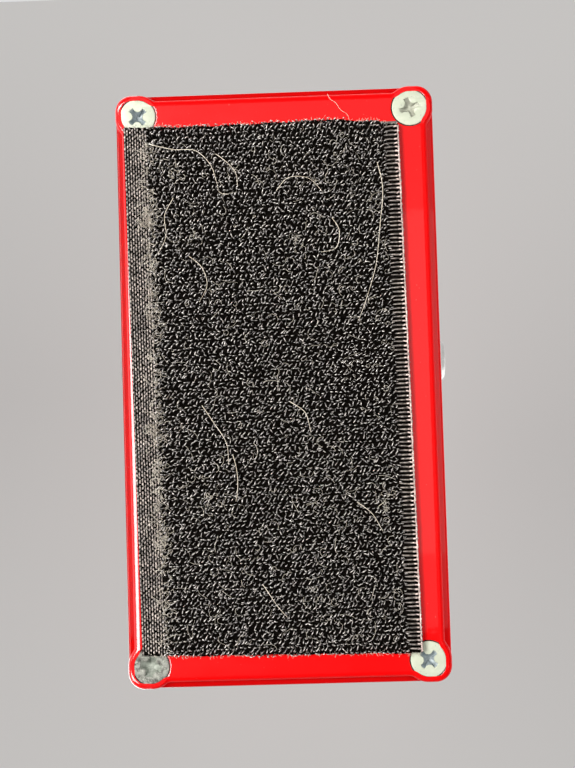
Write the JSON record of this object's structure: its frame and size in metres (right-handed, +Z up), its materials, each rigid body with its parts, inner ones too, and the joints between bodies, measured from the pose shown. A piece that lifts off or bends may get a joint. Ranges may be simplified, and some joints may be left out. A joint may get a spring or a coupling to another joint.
{
  "type": "effects_pedal",
  "caption": "Compact guitar effects pedal in a red die-cast box, with hook tape on its screwed bottom plate, knobs, a foot switch, side jacks and a rear power socket",
  "frame": {"origin": "Under the middle of the pedal, in the plane that the hook tips rest on", "axes": "+Z up through the controls, +Y towards the knobs and the power socket, +X towards the input jack"},
  "size_m": [0.065, 0.1126, 0.0485],
  "materials": {
    "red_paint": "gloss",
    "zinc_screw": "satin",
    "hook_nylon": "matte",
    "adhesive": "matte",
    "nickel": "gloss",
    "pot_can": "satin",
    "black_knob": "satin",
    "knob_aluminium": "satin",
    "lamp_red": "gloss",
    "switch_blue": "satin",
    "brass_contact": "satin",
    "black_plastic": "matte",
    "board_green": "satin",
    "component_black": "matte",
    "component_tan": "satin",
    "capacitor_blue": "satin",
    "battery_case": "satin",
    "foam_grey": "matte",
    "wire_red": "satin",
    "wire_black": "satin",
    "wire_yellow": "satin",
    "wire_white": "satin"
  },
  "bodies": {
    "housing": {"enclosure_box": "red_paint", "base_plate": "red_paint", "base_screws": "zinc_screw", "tape_adhesive": "adhesive", "hook_tape": "hook_nylon", "left_pot_body": "pot_can", "middle_pot_body": "pot_can", "right_pot_body": "pot_can", "pot_washers": "nickel", "pot_nuts": "nickel", "lamp_lens": "lamp_red", "lamp_bezel": "nickel", "lamp_nut": "nickel", "footswitch_body": "switch_blue", "footswitch_bushing": "nickel", "footswitch_spring": "pot_can", "footswitch_washers": "nickel", "footswitch_nuts": "nickel", "footswitch_lugs": "brass_contact", "input_jack_sleeve": "nickel", "input_jack_frame": "pot_can", "output_jack_sleeve": "nickel", "output_jack_frame": "pot_can", "jack_washers": "nickel", "jack_nuts": "nickel", "dc_socket_body": "black_plastic", "dc_centre_pin": "nickel", "dc_socket_nut": "nickel", "circuit_board": "board_green", "board_chips": "component_black", "board_capacitors": "capacitor_blue", "board_resistors": "component_tan", "battery": "battery_case", "battery_terminals": "nickel", "battery_snap": "component_black", "battery_foam": "foam_grey", "battery_lead_red": "wire_red", "battery_lead_black": "wire_black", "input_lead": "wire_yellow", "output_lead": "wire_white"},
    "left_control": {"left_pot_shaft": "pot_can", "left_knob": "black_knob", "left_knob_cap": "knob_aluminium"},
    "middle_control": {"middle_pot_shaft": "pot_can", "middle_knob": "black_knob", "middle_knob_cap": "knob_aluminium"},
    "right_control": {"right_pot_shaft": "pot_can", "right_knob": "black_knob", "right_knob_cap": "knob_aluminium"},
    "footswitch_plunger": {"footswitch_button": "nickel"},
    "input_contact": {"input_tip_spring": "brass_contact"},
    "output_contact": {"output_tip_spring": "brass_contact"}
  },
  "joints": [
    {"name": "left_knob_turn", "type": "hinge", "parent": "housing", "child": "left_control", "pos_m": [-0.016, 0.042, 0.045], "axis": [0, 0, 1], "range_deg": [-150, 150]},
    {"name": "middle_knob_turn", "type": "hinge", "parent": "housing", "child": "middle_control", "pos_m": [0, 0.0246, 0.045], "axis": [0, 0, 1], "range_deg": [-150, 150]},
    {"name": "right_knob_turn", "type": "hinge", "parent": "housing", "child": "right_control", "pos_m": [0.016, 0.042, 0.045], "axis": [0, 0, 1], "range_deg": [-150, 150]},
    {"name": "footswitch_press", "type": "slide", "parent": "housing", "child": "footswitch_plunger", "axis": [0, 0, -1], "range_m": [0, 0.003], "stiffness_N_per_m": 2500, "springref_m": -0.001, "deforming": ["footswitch_spring"]},
    {"name": "input_contact_lift", "type": "hinge", "parent": "housing", "child": "input_contact", "pos_m": [0.0199, 0.0045, 0.0235], "axis": [0, 1, 0], "range_deg": [0, 4], "stiffness_Nm_per_rad": 0.03},
    {"name": "output_contact_lift", "type": "hinge", "parent": "housing", "child": "output_contact", "pos_m": [-0.0199, 0.0045, 0.0235], "axis": [0, -1, 0], "range_deg": [0, 4], "stiffness_Nm_per_rad": 0.03}
  ]
}
